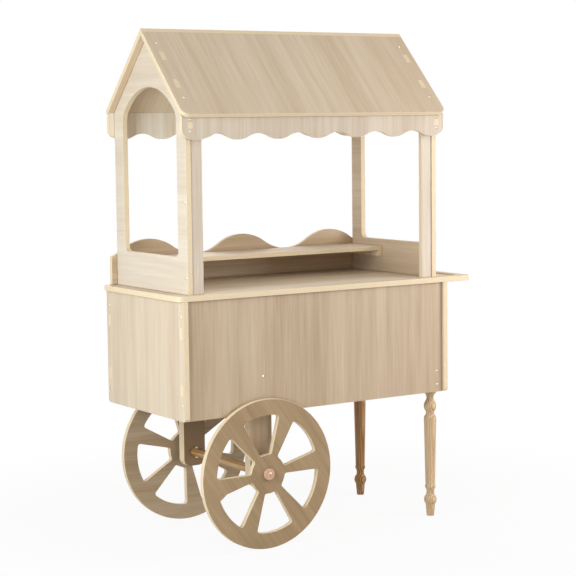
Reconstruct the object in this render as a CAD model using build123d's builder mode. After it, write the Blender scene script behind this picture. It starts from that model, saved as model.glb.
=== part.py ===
from build123d import *
from math import asin, atan, cos, degrees, radians, sin, sqrt, tan
import os

os.makedirs("parts", exist_ok=True)

# Candy cart: a display cart built of flat boards, with a box, a counter, a gabled canopy, two
# board wheels on a dowel axle and two turned legs. Millimetres, +Z up. X runs along the cart with
# the hand slot at +X, the front faces -Y, and the origin is on the ground below the cart's middle.

# Boards and fits
board = 18.0  # box, counter, end frames and wheels
thin_board = 15.0  # roof, valances, stiles, backboard and shelf
edge_round = 1.2  # eased edges of the boards
joint_gap = 0.15  # glue gap round a tenon, a dowel or a screw
running_gap = 0.05  # between a turning bush and the axle
end_float = 0.5  # play along the axle at each face of a wheel

# Screws
screw_head = 10.0
screw_shank = 4.0
screw_length = 45.0
screw_sink = 0.8  # depth of a head below the board's face
screw_cover = 3.0  # wood left beyond a screw's tip

# Box
box_length = 1050.0
box_depth = 516.0
box_height = 380.0
ground_clearance = 442.0
panel_recess = 9.0  # front and rear panels stand back from the end panels' edges
box_corner = 12.0  # lower corners of the end panels
box_tenon = 38.0
box_tenon_edge = 100.0  # middle of a tenon from the panel's edge
panel_screw_edge = 49.0

# Counter
counter_overhang = 15.0
handle_reach = 105.0  # counter past the box at the hand slot
handle_bar = 30.0
hand_slot_width = 36.0
hand_slot_margin = 40.0
counter_corner = 20.0
counter_screw_margin = 63.0

# End frames
frame_inset = 31.5  # from the box's end to the frame's outer face
frame_setback = 23.0  # from the counter's front and rear edges
post_width = 58.0
sill_height = 116.0
sill_corner = 20.0
arch_rise = 92.0
crown_rise = 81.0  # crown of the arch above the shoulders
spring_round = 40.0
shoulder_height = 573.0  # where the gable starts above the counter

# Roof
roof_pitch = 46.25
roof_overhang = 24.0  # past the frames' outer faces
eave_reach = 29.0  # past the frames' front and rear edges
eave_corner = 28.0
roof_tenon = 38.0
roof_tenon_spread = 124.0  # between the two tenons on a slope
roof_screw_spread = 243.0

# Valances
edge_board_inset = 3.0  # valances and backboard end short of the roof
valance_height = 73.0  # of the outer face, below the bevel under the roof
scallops = 7
scallop_depth = 19.5
valance_end = 14.5  # beyond the last scallop
edge_tenon = 20.0  # tenons through the valances and the backboard
edge_screw_offset = 19.0
valance_tenon_drop = 27.0

# Stiles inside the front posts
stile_width = 42.0
stile_setback = 3.5
stile_screw_low = 53.0  # above the counter
stile_screw_mid = 291.0
stile_screw_drop = 71.0  # below the stile's top

# Backboard and shelf
humps = 3
hump_height = 148.0
hump_depth = 58.0
hump_end = 50.0  # beyond the last hump
backboard_corner = 12.0
backboard_tenon_rise = 58.0
shelf_rise = 92.0  # top of the shelf above the counter
shelf_depth = 185.0
cleat = 20.0
cleat_screw_margin = 45.0

# Running gear
axle_inset = 297.0  # from the box's end
axle_diameter = 30.0
strut_width = 83.0
strut_thickness = 33.0
strut_drop = 48.0  # below the axle's middle
strut_lap = 158.0  # up inside the box
strut_corner = 26.0
strut_screw_low = 40.0  # above the box's lower edge
strut_screw_high = 119.5
pin_diameter = 8.0
pin_stand_out = 4.0
pin_setback = 9.0  # from the strut's face to the pin
wheel_radius = 245.0
wheel_gap = 6.0  # from the box panel's face to the wheel
rim_width = 52.0
hub_radius = 64.0
spokes = 6
spoke_root = 25.0
spoke_tip = 60.0
spoke_round = 9.0
front_wheel_turn = 7.5  # degrees from +X to the first spoke
rear_wheel_turn = 39.0
bush_wall = 2.0
spacer_wall = 7.0
hub_cap_diameter = 38.0
hub_cap_thickness = 10.0
hub_cap_round = 3.0
cap_screw_head = 15.0
cap_screw_dome = 2.5
cap_screw_shank = 5.0
cap_screw_length = 40.0

# Legs: a square block inside the box, then turnings downwards and upwards to a tapered column
leg_block = 44.0
leg_lap = 98.0
leg_screw_low = 25.0  # above the box's lower edge
leg_screw_high = 72.0
leg_joint_radius = 15.5  # where two turnings meet
leg_collar_radius = 21.0
leg_collar_height = 8.0
leg_neck_radius = 12.5
leg_neck_height = 28.0
leg_bulb_radius = 21.7
leg_bulb_height = 37.0
leg_waist_radius = 14.6
leg_waist_height = 12.0
leg_shoulder_radius = 21.7
leg_shoulder_height = 13.0
leg_ankle_radius = 16.8
leg_bead_radius = 18.4
leg_bead_height = 14.5
leg_cove_radius = 13.5
leg_cove_height = 22.0
leg_ball_radius = 22.2
leg_ball_height = 31.0
leg_foot_radius = 13.0
leg_foot_height = 42.0

# Places worked out from the sizes
overall_length = counter_overhang + box_length + handle_reach
box_middle = (counter_overhang - handle_reach) / 2
box_top = ground_clearance + box_height
counter_top = box_top + board
box_middle_z = ground_clearance + box_height / 2
end_panel_x = (box_length - board) / 2
panel_outer_y = box_depth / 2 - panel_recess
panel_y = panel_outer_y - board / 2
panel_inner_y = panel_outer_y - board
box_tenon_heights = (ground_clearance + box_tenon_edge, box_top - box_tenon_edge)

frame_x = box_length / 2 - frame_inset - board / 2
frame_inner_x = frame_x - board / 2
frame_edge_y = box_depth / 2 - frame_setback
post_y = frame_edge_y - post_width / 2
opening_half = frame_edge_y - post_width
shoulder_z = counter_top + shoulder_height
crown_z = shoulder_z + crown_rise
spring_z = crown_z - arch_rise

slope = radians(roof_pitch)
gable_z = shoulder_z + frame_edge_y * tan(slope)
ridge_z = gable_z + thin_board / cos(slope)
roof_length = 2 * (frame_x + board / 2 + roof_overhang)
slope_length = (frame_edge_y + eave_reach) / cos(slope)
# Middle of the fixings, down the outer face from the ridge
roof_fixing = thin_board * tan(slope) + frame_edge_y / cos(slope) / 2
edge_board_y = frame_edge_y + thin_board / 2  # valances and backboard
edge_board_length = roof_length - 2 * edge_board_inset
edge_board_half = edge_board_length / 2
valance_top = gable_z - (frame_edge_y + thin_board) * tan(slope) - joint_gap / cos(slope)
valance_tenon_z = valance_top - valance_tenon_drop
stile_top = shoulder_z - joint_gap
backboard_tenon_z = counter_top + backboard_tenon_rise
hump_pitch = 2 * (edge_board_length - 2 * hump_end) / (2 * humps - 1)

shelf_z = counter_top + shelf_rise - thin_board / 2
shelf_y = frame_edge_y - shelf_depth / 2
cleat_z = shelf_z - thin_board / 2 - cleat / 2
stile_y = stile_setback + thin_board / 2 - frame_edge_y

axle_x = box_middle - box_length / 2 + axle_inset
axle_z = wheel_radius
strut_y = panel_inner_y - strut_thickness / 2
wheel_inner_y = panel_outer_y + wheel_gap
wheel_y = wheel_inner_y + board / 2
axle_half = wheel_inner_y + board + end_float
cap_face_y = axle_half + hub_cap_thickness
pin_y = panel_inner_y - strut_thickness - pin_setback - pin_diameter / 2
bush_radius = axle_diameter / 2 + running_gap + bush_wall

leg_x = box_middle + box_length / 2 - board - leg_block / 2
leg_y = panel_inner_y - leg_block / 2


# Screws and their holes

def turned(*outline):
    """A solid turned about Z from an outline of radii and heights."""
    with BuildPart() as piece:
        with BuildSketch(Plane.XZ):
            with BuildLine():
                Polyline(*outline, close=True)
            make_face()
        revolve(axis=Axis.Z)
    return piece.part


def wood_screw(length):
    """A countersunk screw with its head just below the origin and its tip down Z."""
    head = screw_head / 2
    shank = screw_shank / 2
    return turned(
        (0, -screw_sink),
        (head, -screw_sink),
        (shank, shank - head - screw_sink),
        (shank, shank - length),
        (0, -length),
    )


def screw_hole(length):
    """The countersunk hole that a screw sits in, with its mouth clear of the board's face."""
    head = screw_head / 2 + joint_gap
    shank = screw_shank / 2 + joint_gap
    return turned(
        (0, screw_sink),
        (head, screw_sink),
        (head, -screw_sink),
        (shank, shank - head - screw_sink),
        (shank, -length - joint_gap),
        (0, -length - joint_gap),
    )


def seat(x, y, z, outward):
    """The plane of a screw's mouth, facing outward."""
    return Plane(origin=(x, y, z), z_dir=outward)


def write(name, piece):
    """Label a finished piece and write it under its own name."""
    piece.label = name
    export_step(piece, f"parts/{name}.step")


def write_screws(name, screw, seats):
    """Write one group of equal screws."""
    with BuildPart() as group:
        with Locations(*seats):
            add(screw)
    write(name, group.part)


def upright(x, y):
    """A plane facing the front, with local x along the cart from x and local y up from the ground."""
    return Plane(origin=(x, y, 0), x_dir=(1, 0, 0), z_dir=(0, -1, 0))


def roof_plane(side):
    """The outer face of a slope at the ridge, with local y up the slope."""
    return Plane(
        origin=(box_middle, 0, ridge_z),
        x_dir=(-side, 0, 0),
        z_dir=(0, side * sin(slope), cos(slope)),
    )


sides = (-1, 1)
front, rear = sides
left, right = sides
standard_screw = wood_screw(screw_length)
standard_hole = screw_hole(screw_length)
strut_screw_length = board + strut_thickness - screw_cover
strut_hole = screw_hole(strut_screw_length)
cleat_screw_length = cleat + board - screw_cover
cleat_hole = screw_hole(cleat_screw_length)

panel_screw_seats = [
    seat(box_middle + end * box_length / 2, face * panel_y, z, (end, 0, 0))
    for end in sides
    for face in sides
    for z in (ground_clearance + panel_screw_edge, box_top - panel_screw_edge)
]
end_screw_y = box_depth / 2 - counter_screw_margin
long_screw_x = box_length / 2 - counter_screw_margin
counter_screw_seats = [
    seat(box_middle + end * end_panel_x, y, counter_top, (0, 0, 1))
    for end in sides
    for y in (-end_screw_y, 0, end_screw_y)
] + [
    seat(box_middle + x, face * panel_y, counter_top, (0, 0, 1))
    for face in sides
    for x in (-long_screw_x, -long_screw_x / 3, long_screw_x / 3, long_screw_x)
]
foot_screw_seats = [
    seat(box_middle + end * frame_x, y, box_top, (0, 0, -1))
    for end in sides
    for y in (-post_y, 0, post_y)
]
roof_screw_seats = {
    face: [
        roof_plane(face).shift_origin(
            roof_plane(face).from_local_coords((end * frame_x, -distance, 0))
        )
        for end in sides
        for distance in (roof_fixing - roof_screw_spread / 2, roof_fixing + roof_screw_spread / 2)
    ]
    for face in sides
}
valance_screw_seats = [
    seat(
        box_middle + end * frame_x,
        face * (frame_edge_y + thin_board),
        valance_tenon_z + offset,
        (0, face, 0),
    )
    for end in sides
    for face in sides
    for offset in (-edge_screw_offset, edge_screw_offset)
]
backboard_screw_seats = [
    seat(box_middle + end * frame_x, frame_edge_y + thin_board, backboard_tenon_z + offset, (0, 1, 0))
    for end in sides
    for offset in (-edge_screw_offset, edge_screw_offset)
]
shelf_screw_seats = [
    seat(box_middle + x, frame_edge_y + thin_board, shelf_z, (0, 1, 0))
    for x in (-hump_pitch, 0, hump_pitch)
]
cleat_screw_seats = [
    seat(box_middle + end * (frame_inner_x - cleat), shelf_y + y, cleat_z, (-end, 0, 0))
    for end in sides
    for y in (cleat_screw_margin - shelf_depth / 2, shelf_depth / 2 - cleat_screw_margin)
]
stile_screw_heights = (
    counter_top + stile_screw_low,
    counter_top + stile_screw_mid,
    stile_top - stile_screw_drop,
)
stile_screw_seats = [
    seat(box_middle + end * (frame_x + board / 2), stile_y, z, (end, 0, 0))
    for end in sides
    for z in stile_screw_heights
]
strut_screw_seats = [
    seat(axle_x, face * panel_outer_y, ground_clearance + rise, (0, face, 0))
    for face in sides
    for rise in (strut_screw_low, strut_screw_high)
]
leg_screw_seats = [
    seat(leg_x, face * panel_outer_y, ground_clearance + rise, (0, face, 0))
    for face in sides
    for rise in (leg_screw_low, leg_screw_high)
]

write_screws("panel_screws", standard_screw, panel_screw_seats)
write_screws("counter_screws", standard_screw, counter_screw_seats)
write_screws("frame_foot_screws", standard_screw, foot_screw_seats)
write_screws("roof_screws", standard_screw, roof_screw_seats[front] + roof_screw_seats[rear])
write_screws("valance_screws", standard_screw, valance_screw_seats)
write_screws("backboard_screws", standard_screw, backboard_screw_seats)
write_screws("shelf_screws", standard_screw, shelf_screw_seats)
write_screws("cleat_screws", wood_screw(cleat_screw_length), cleat_screw_seats)
write_screws("stile_screws", standard_screw, stile_screw_seats)
write_screws("strut_screws", wood_screw(strut_screw_length), strut_screw_seats)
write_screws("leg_screws", standard_screw, leg_screw_seats)


# Box: the end panels take the front and rear panels' tenons right through

for end, name in ((left, "left_end_panel"), (right, "right_end_panel")):
    end_plane = Plane.YZ.offset(box_middle + end * end_panel_x)
    with BuildPart() as end_panel:
        with BuildSketch(end_plane) as outline:
            with Locations((0, box_middle_z)):
                Rectangle(box_depth, box_height)
            fillet(outline.vertices().group_by(Axis.Y)[0], box_corner)
        extrude(amount=board / 2, both=True)
        fillet(end_panel.faces().filter_by(Axis.X).edges(), edge_round)
        with BuildSketch(end_plane):
            with Locations(*[(face * panel_y, z) for face in sides for z in box_tenon_heights]):
                Rectangle(board + 2 * joint_gap, box_tenon + 2 * joint_gap)
        extrude(amount=board, both=True, mode=Mode.SUBTRACT)
        with Locations(*panel_screw_seats, *counter_screw_seats):
            add(standard_hole, mode=Mode.SUBTRACT)
    write(name, end_panel.part)

for face, name in ((front, "front_panel"), (rear, "rear_panel")):
    panel_plane = upright(box_middle, face * panel_y)
    with BuildPart() as long_panel:
        with BuildSketch(panel_plane):
            with Locations((0, box_middle_z)):
                Rectangle(box_length - 2 * board, box_height)
        extrude(amount=board / 2, both=True)
        lower_edges = long_panel.faces().sort_by(Axis.Z)[0].edges().filter_by(Axis.X)
        fillet(lower_edges, edge_round)
        with BuildSketch(panel_plane):
            with Locations(*[(0, z) for z in box_tenon_heights]):
                Rectangle(box_length, box_tenon)
        extrude(amount=board / 2, both=True)
        with Locations(*panel_screw_seats, *counter_screw_seats, *leg_screw_seats):
            add(standard_hole, mode=Mode.SUBTRACT)
        with Locations(*strut_screw_seats):
            add(strut_hole, mode=Mode.SUBTRACT)
    write(name, long_panel.part)


# Counter with the hand slot that the cart is pushed by

with BuildPart() as counter:
    with BuildSketch(Plane.XY.offset(counter_top - board / 2)) as outline:
        Rectangle(overall_length, box_depth)
        fillet(outline.vertices(), counter_corner)
        with Locations((overall_length / 2 - handle_bar - hand_slot_width / 2, 0)):
            SlotOverall(
                box_depth - 2 * hand_slot_margin,
                hand_slot_width,
                rotation=90,
                mode=Mode.SUBTRACT,
            )
    extrude(amount=board / 2, both=True)
    fillet(counter.faces().filter_by(Axis.Z).edges(), edge_round)
    with Locations(*counter_screw_seats, *foot_screw_seats):
        add(standard_hole, mode=Mode.SUBTRACT)
write("counter_top", counter.part)


# End frames: an arched opening under a gable, with tenons through the roof and the edge boards

for end, name in ((left, "left_end_frame"), (right, "right_end_frame")):
    frame_plane = Plane.YZ.offset(box_middle + end * frame_x)
    with BuildPart() as end_frame:
        with BuildSketch(frame_plane):
            with BuildLine():
                Polyline(
                    (-frame_edge_y, counter_top),
                    (frame_edge_y, counter_top),
                    (frame_edge_y, shoulder_z),
                    (0, gable_z),
                    (-frame_edge_y, shoulder_z),
                    close=True,
                )
            make_face()
        extrude(amount=board / 2, both=True)
        with BuildSketch(frame_plane) as opening:
            with BuildLine():
                Polyline(
                    (-opening_half, spring_z),
                    (-opening_half, counter_top + sill_height),
                    (opening_half, counter_top + sill_height),
                    (opening_half, spring_z),
                )
                ThreePointArc(
                    (opening_half, spring_z), (0, crown_z), (-opening_half, spring_z)
                )
            make_face()
            fillet(opening.vertices().group_by(Axis.Y)[0], sill_corner)
            fillet(opening.vertices().group_by(Axis.Y)[-1], spring_round)
        extrude(amount=board, both=True, mode=Mode.SUBTRACT)
        fillet(end_frame.faces().filter_by(Axis.X).edges(), edge_round)
        with BuildSketch(frame_plane):
            for face in sides:
                for spread in (-roof_tenon_spread / 2, roof_tenon_spread / 2):
                    distance = roof_fixing + spread
                    tenon_y = face * (distance * cos(slope) - thin_board * sin(slope))
                    tenon_z = ridge_z - distance * sin(slope) - thin_board * cos(slope)
                    with Locations(Location((tenon_y, tenon_z), -face * roof_pitch)):
                        Rectangle(roof_tenon, 2 * thin_board)
                with Locations((face * frame_edge_y, valance_tenon_z)):
                    Rectangle(2 * thin_board, edge_tenon)
            with Locations((frame_edge_y, backboard_tenon_z)):
                Rectangle(2 * thin_board, edge_tenon)
        extrude(amount=board / 2, both=True)
        with Locations(*roof_screw_seats[front], *roof_screw_seats[rear], *valance_screw_seats):
            add(standard_hole, mode=Mode.SUBTRACT)
        with Locations(*foot_screw_seats, *stile_screw_seats, *backboard_screw_seats):
            add(standard_hole, mode=Mode.SUBTRACT)
        with Locations(*cleat_screw_seats):
            add(cleat_hole, mode=Mode.SUBTRACT)
    write(name, end_frame.part)


# Roof: the rear panel runs over the front panel's end at the ridge

for face, name in ((front, "front_roof_panel"), (rear, "rear_roof_panel")):
    outer = roof_plane(face)
    with BuildPart() as roof_panel:
        with BuildSketch(outer) as outline:
            with Locations((0, thin_board)):
                Rectangle(roof_length, slope_length + thin_board, align=(Align.CENTER, Align.MAX))
            fillet(outline.vertices().group_by(Axis.Y)[0], eave_corner)
        extrude(amount=-thin_board)
        fillet(roof_panel.faces().filter_by(outer).edges(), edge_round)
        if face == rear:
            split(bisect_by=roof_plane(front), keep=Keep.BOTTOM)
        else:
            split(bisect_by=roof_plane(rear).offset(-thin_board), keep=Keep.BOTTOM)
        with BuildSketch(outer):
            with Locations((0, -roof_fixing)):
                with GridLocations(2 * frame_x, roof_tenon_spread, 2, 2):
                    Rectangle(board + 2 * joint_gap, roof_tenon + 2 * joint_gap)
        extrude(amount=-2 * thin_board, mode=Mode.SUBTRACT)
        with Locations(*roof_screw_seats[face]):
            add(standard_hole, mode=Mode.SUBTRACT)
    write(name, roof_panel.part)


# Boards on the frames' front and rear edges, with wavy outlines of equal tangent arcs. The valances
# are bevelled along the top to lie under the roof.

def wave(start_x, middle_z, half_wave, swing, count):
    """Draw arcs from start_x towards +X, the first swinging by swing and the next the other way."""
    for step in range(count):
        begin = start_x + step * half_wave
        middle = (begin + half_wave / 2, middle_z + swing * (-1) ** step)
        ThreePointArc((begin, middle_z), middle, (begin + half_wave, middle_z))


def wave_angle(half_wave, swing):
    """The slope of the wave where one arc meets the next."""
    return 2 * atan(2 * swing / half_wave)


half_scallop = (edge_board_length - 2 * valance_end) / (2 * scallops - 1)
scallop_swing = scallop_depth / 2
scallop_z = valance_top - valance_height + scallop_swing
scallop_half_length = edge_board_half - valance_end
scallop_angle = wave_angle(half_scallop, scallop_swing)
valance_end_rise = valance_end * cos(scallop_angle) / (1 - sin(scallop_angle))

for face, name in ((front, "front_valance"), (rear, "rear_valance")):
    valance_plane = upright(box_middle, face * edge_board_y)
    with BuildPart() as valance:
        with BuildSketch(valance_plane):
            with BuildLine():
                wave(-scallop_half_length, scallop_z, half_scallop, -scallop_swing, 2 * scallops - 1)
                for end in sides:
                    TangentArc(
                        (end * scallop_half_length, scallop_z),
                        (end * edge_board_half, scallop_z + valance_end_rise),
                        tangent=(end * cos(scallop_angle), sin(scallop_angle)),
                    )
                Polyline(
                    (-edge_board_half, scallop_z + valance_end_rise),
                    (-edge_board_half, gable_z),
                    (edge_board_half, gable_z),
                    (edge_board_half, scallop_z + valance_end_rise),
                )
            make_face()
        extrude(amount=thin_board / 2, both=True)
        fillet(valance.faces().filter_by(Axis.Y).edges(), edge_round)
        split(bisect_by=roof_plane(face).offset(-thin_board - joint_gap), keep=Keep.BOTTOM)
        with BuildSketch(valance_plane):
            with Locations((-frame_x, valance_tenon_z), (frame_x, valance_tenon_z)):
                Rectangle(board + 2 * joint_gap, edge_tenon + 2 * joint_gap)
        extrude(amount=thin_board, both=True, mode=Mode.SUBTRACT)
        with Locations(*valance_screw_seats):
            add(standard_hole, mode=Mode.SUBTRACT)
    write(name, valance.part)

half_hump = hump_pitch / 2
hump_swing = hump_depth / 2
hump_z = counter_top + hump_height - hump_swing
hump_half_length = edge_board_half - hump_end
hump_angle = wave_angle(half_hump, hump_swing)
hump_radius = half_hump / (2 * sin(hump_angle))
trough_centre_z = hump_z - hump_swing + hump_radius
backboard_end_z = trough_centre_z - sqrt(hump_radius**2 - (half_hump / 2 - hump_end) ** 2)
backboard_plane = upright(box_middle, edge_board_y)

with BuildPart() as backboard:
    with BuildSketch(backboard_plane) as outline:
        with BuildLine():
            wave(-hump_half_length, hump_z, half_hump, hump_swing, 2 * humps - 1)
            for end in sides:
                TangentArc(
                    (end * hump_half_length, hump_z),
                    (end * edge_board_half, backboard_end_z),
                    tangent=(end * cos(hump_angle), -sin(hump_angle)),
                )
            Polyline(
                (-edge_board_half, backboard_end_z),
                (-edge_board_half, counter_top),
                (edge_board_half, counter_top),
                (edge_board_half, backboard_end_z),
            )
        make_face()
        ends = outline.vertices().group_by(Axis.X)
        upper_corners = [group.sort_by(Axis.Y)[-1] for group in (ends[0], ends[-1])]
        fillet(upper_corners, backboard_corner)
    extrude(amount=thin_board / 2, both=True)
    fillet(backboard.faces().filter_by(Axis.Y).edges(), edge_round)
    with BuildSketch(backboard_plane):
        with Locations((-frame_x, backboard_tenon_z), (frame_x, backboard_tenon_z)):
            Rectangle(board + 2 * joint_gap, edge_tenon + 2 * joint_gap)
    extrude(amount=thin_board, both=True, mode=Mode.SUBTRACT)
    with Locations(*backboard_screw_seats, *shelf_screw_seats):
        add(standard_hole, mode=Mode.SUBTRACT)
write("backboard", backboard.part)


# Stiles inside the front posts

for end, name in ((left, "left_stile"), (right, "right_stile")):
    with BuildPart() as stile:
        with BuildSketch(Plane.XY.offset(counter_top)):
            with Locations((box_middle + end * (frame_inner_x - stile_width / 2), stile_y)):
                Rectangle(stile_width, thin_board)
        extrude(amount=stile_top - counter_top)
        fillet(stile.edges().filter_by(Axis.Z), edge_round)
        with Locations(*stile_screw_seats):
            add(standard_hole, mode=Mode.SUBTRACT)
    write(name, stile.part)


# Shelf along the backboard, carried by a cleat on each end frame

with BuildPart() as shelf:
    with BuildSketch(Plane.XY.offset(shelf_z)):
        with Locations((box_middle, shelf_y)):
            Rectangle(2 * (frame_inner_x - joint_gap), shelf_depth)
    extrude(amount=thin_board / 2, both=True)
    fillet(shelf.faces().sort_by(Axis.Y)[0].edges().filter_by(Axis.X), edge_round)
    with Locations(*shelf_screw_seats):
        add(standard_hole, mode=Mode.SUBTRACT)
write("display_shelf", shelf.part)

for end, name in ((left, "left_shelf_cleat"), (right, "right_shelf_cleat")):
    with BuildPart() as shelf_cleat:
        with BuildSketch(Plane.XY.offset(cleat_z)):
            with Locations((box_middle + end * (frame_inner_x - cleat / 2), shelf_y)):
                Rectangle(cleat, shelf_depth)
        extrude(amount=cleat / 2, both=True)
        with Locations(*cleat_screw_seats):
            add(cleat_hole, mode=Mode.SUBTRACT)
    write(name, shelf_cleat.part)


# Axle through two struts, which stand inside the front and rear panels

for face, name in ((front, "front_axle_strut"), (rear, "rear_axle_strut")):
    strut_top = ground_clearance + strut_lap
    with BuildPart() as strut:
        with BuildSketch(upright(axle_x, face * strut_y)) as outline:
            with Locations((0, axle_z - strut_drop)):
                Rectangle(
                    strut_width,
                    strut_top - axle_z + strut_drop,
                    align=(Align.CENTER, Align.MIN),
                )
            fillet(outline.vertices().group_by(Axis.Y)[0], min(strut_corner, 0.45 * strut_width))
            with Locations((0, axle_z)):
                Circle(axle_diameter / 2 + joint_gap, mode=Mode.SUBTRACT)
        extrude(amount=strut_thickness / 2, both=True)
        with Locations(*strut_screw_seats):
            add(strut_hole, mode=Mode.SUBTRACT)
    write(name, strut.part)

cap_screw_seats = [seat(axle_x, face * cap_face_y, axle_z, (0, face, 0)) for face in sides]

with BuildPart() as axle:
    with BuildSketch(upright(axle_x, 0)):
        with Locations((0, axle_z)):
            Circle(axle_diameter / 2)
    extrude(amount=axle_half, both=True)
    with Locations(*[(axle_x, face * pin_y, axle_z + axle_diameter) for face in sides]):
        Hole(pin_diameter / 2 + joint_gap, 2 * axle_diameter)
    with Locations(*cap_screw_seats):
        Hole(cap_screw_shank / 2 + joint_gap, cap_screw_length + joint_gap)
write("axle", axle.part)

with BuildPart() as pins:
    with BuildSketch(Plane.XY.offset(axle_z)):
        with Locations((axle_x, -pin_y), (axle_x, pin_y)):
            Circle(pin_diameter / 2)
    extrude(amount=axle_diameter / 2 + pin_stand_out, both=True)
write("axle_pins", pins.part)


# Wheels: flat boards with sector openings, each turning on the axle in a bush

spoke_step = 360 / spokes
hub_half_angle = spoke_step / 2 - degrees(asin(spoke_root / 2 / hub_radius))
rim_radius = wheel_radius - rim_width
rim_half_angle = spoke_step / 2 - degrees(asin(spoke_tip / 2 / rim_radius))


def polar(radius, angle):
    """A point at a radius and an angle in degrees."""
    return (radius * cos(radians(angle)), radius * sin(radians(angle)))


with BuildSketch() as spoke_opening:
    with BuildLine():
        Line(polar(hub_radius, hub_half_angle), polar(rim_radius, rim_half_angle))
        ThreePointArc(
            polar(rim_radius, rim_half_angle), polar(rim_radius, 0), polar(rim_radius, -rim_half_angle)
        )
        Line(polar(rim_radius, -rim_half_angle), polar(hub_radius, -hub_half_angle))
        ThreePointArc(
            polar(hub_radius, -hub_half_angle), polar(hub_radius, 0), polar(hub_radius, hub_half_angle)
        )
    make_face()
    fillet(spoke_opening.vertices(), spoke_round)

for face, side_name, turn in ((front, "front", front_wheel_turn), (rear, "rear", rear_wheel_turn)):
    with BuildPart() as wheel:
        with BuildSketch(upright(axle_x, face * wheel_y)):
            with Locations((0, axle_z)):
                Circle(wheel_radius)
                Circle(bush_radius + joint_gap, mode=Mode.SUBTRACT)
                with PolarLocations(0, spokes, start_angle=turn + spoke_step / 2):
                    add(spoke_opening.sketch, mode=Mode.SUBTRACT)
        extrude(amount=board / 2, both=True)
        fillet(wheel.faces().filter_by(Axis.Y).edges(), edge_round)
    write(f"{side_name}_wheel", wheel.part)

    with BuildPart() as bush:
        with BuildSketch(upright(axle_x, face * wheel_y)):
            with Locations((0, axle_z)):
                Circle(bush_radius)
                Circle(axle_diameter / 2 + running_gap, mode=Mode.SUBTRACT)
        extrude(amount=board / 2, both=True)
    write(f"{side_name}_wheel_bush", bush.part)

    spacer_length = wheel_inner_y - end_float - panel_inner_y
    with BuildPart() as spacer:
        with BuildSketch(upright(axle_x, face * (panel_inner_y + spacer_length / 2))):
            with Locations((0, axle_z)):
                Circle(axle_diameter / 2 + joint_gap + spacer_wall)
                Circle(axle_diameter / 2 + joint_gap, mode=Mode.SUBTRACT)
        extrude(amount=spacer_length / 2, both=True)
    write(f"{side_name}_wheel_spacer", spacer.part)

    with BuildPart() as hub_cap:
        with BuildSketch(upright(axle_x, face * axle_half)):
            with Locations((0, axle_z)):
                Circle(hub_cap_diameter / 2)
        extrude(amount=-face * hub_cap_thickness)
        outer_face = hub_cap.faces().filter_by(Axis.Y).sort_by(Axis.Y)[-1 if face == rear else 0]
        fillet(outer_face.edges(), hub_cap_round)
        with Locations(cap_screw_seats[sides.index(face)]):
            Hole(cap_screw_shank / 2 + joint_gap, 2 * hub_cap_thickness)
    write(f"{side_name}_hub_cap", hub_cap.part)

with BuildPart() as cap_screw:
    with BuildSketch(Plane.XZ):
        with BuildLine():
            TangentArc((0, cap_screw_dome), (cap_screw_head / 2, 0), tangent=(1, 0))
            Polyline(
                (cap_screw_head / 2, 0),
                (cap_screw_shank / 2, 0),
                (cap_screw_shank / 2, -cap_screw_length),
                (0, -cap_screw_length),
                (0, cap_screw_dome),
            )
        make_face()
    revolve(axis=Axis.Z)
write_screws("hub_cap_screws", cap_screw.part, cap_screw_seats)


# Legs: a square block screwed into the box's corner, turned below the box

lower_turnings = (
    (leg_ball_height, leg_ball_radius, leg_joint_radius),
    (leg_cove_height, leg_cove_radius, leg_joint_radius),
    (leg_bead_height, leg_bead_radius, leg_ankle_radius),
)
upper_turnings = (
    (leg_neck_height, leg_neck_radius, leg_joint_radius),
    (leg_bulb_height, leg_bulb_radius, leg_joint_radius),
    (leg_waist_height, leg_waist_radius, leg_joint_radius),
)


def turnings(radius, z, direction, steps):
    """Draw arcs one after another up or down the leg, and return where they end."""
    for height, middle_radius, end_radius in steps:
        middle = (middle_radius, z + direction * height / 2)
        end_point = (end_radius, z + direction * height)
        ThreePointArc((radius, z), middle, end_point)
        radius, z = end_point
    return radius, z


for face, name in ((front, "front_leg"), (rear, "rear_leg")):
    leg_axis = Axis((leg_x, face * leg_y, 0), (0, 0, 1))
    with BuildPart() as leg:
        with BuildSketch(upright(leg_x, face * leg_y)):
            with BuildLine():
                Polyline((0, 0), (leg_foot_radius, 0), (leg_ankle_radius, leg_foot_height))
                ankle = turnings(leg_ankle_radius, leg_foot_height, 1, lower_turnings)
                collar_z = ground_clearance - leg_collar_height
                waist = turnings(leg_collar_radius, collar_z, -1, upper_turnings)
                shoulder = (leg_shoulder_radius, waist[1] - leg_shoulder_height)
                TangentArc(shoulder, waist, tangent=(0, 1))
                Line(ankle, shoulder)
                Polyline(
                    (leg_collar_radius, collar_z),
                    (leg_collar_radius, ground_clearance),
                    (0, ground_clearance),
                    (0, 0),
                )
            make_face()
        revolve(axis=leg_axis)
        with BuildSketch(Plane.XY.offset(ground_clearance)):
            with Locations((leg_x, face * leg_y)):
                Rectangle(leg_block, leg_block)
        extrude(amount=leg_lap)
        with Locations(*leg_screw_seats):
            add(standard_hole, mode=Mode.SUBTRACT)
    write(name, leg.part)
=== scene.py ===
# %% [markdown]
# # A wooden candy cart
# The cart is made of flat oak-faced boards: a box, a counter, two arched end frames and a gabled
# canopy with scalloped valances. It stands on two board wheels and two turned legs. Every board
# comes from the construction model at its real size, so this lesson spends its time on the light,
# the wood, and the small hardware that the construction model keeps plain.

# %% Load the construction model
import math
import random

import bmesh
import bpy
import numpy as np
from mathutils import Matrix, Vector


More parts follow.
